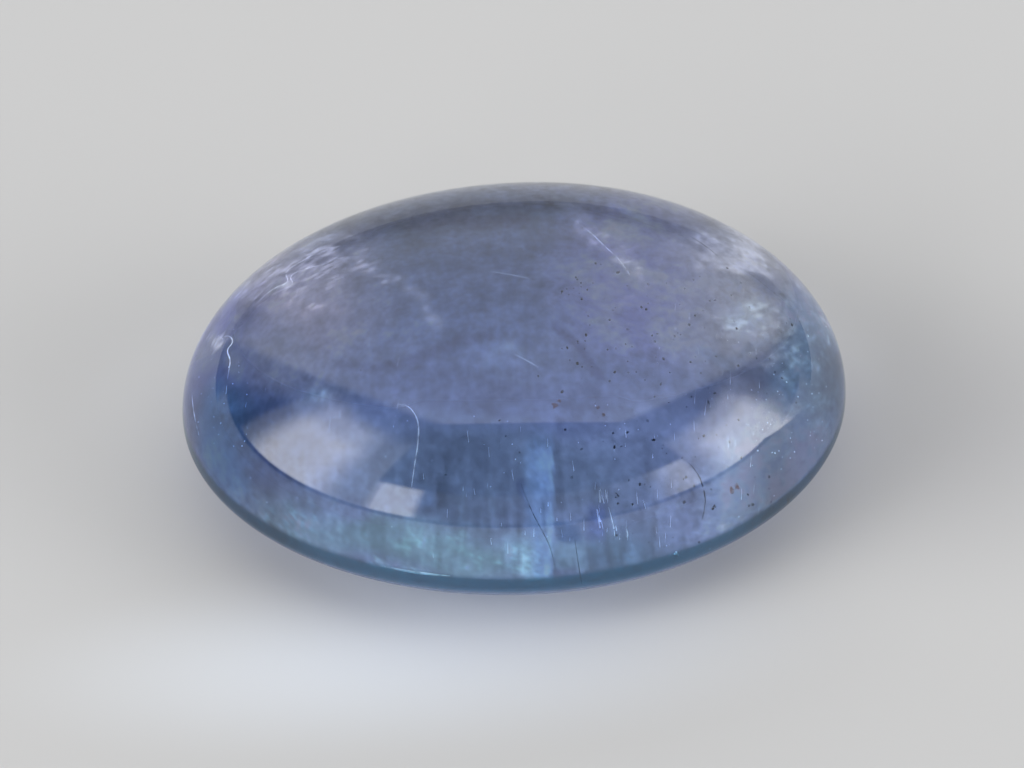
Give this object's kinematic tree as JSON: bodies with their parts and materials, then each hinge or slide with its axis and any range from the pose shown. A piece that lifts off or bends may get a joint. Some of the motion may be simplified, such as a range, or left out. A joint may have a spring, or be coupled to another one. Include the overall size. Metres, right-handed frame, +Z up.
{
  "type": "tanzanite cabochon",
  "caption": "Polished oval gemstone cabochon in see-through violet blue, with a high dome, a rounded girdle and a shallow convex back that rests on a small flat spot.",
  "frame": {"origin": "centre of the stone's outline on the surface that it rests on", "axes": "+X along the long axis of the oval, +Y across it, +Z up through the dome"},
  "size_m": [0.0106, 0.0078, 0.0041],
  "materials": {
    "tanzanite": "high polish over a see-through violet blue body with veils, needles and specks inside"
  },
  "bodies": {
    "root": {"cabochon": "tanzanite"}
  },
  "joints": []
}
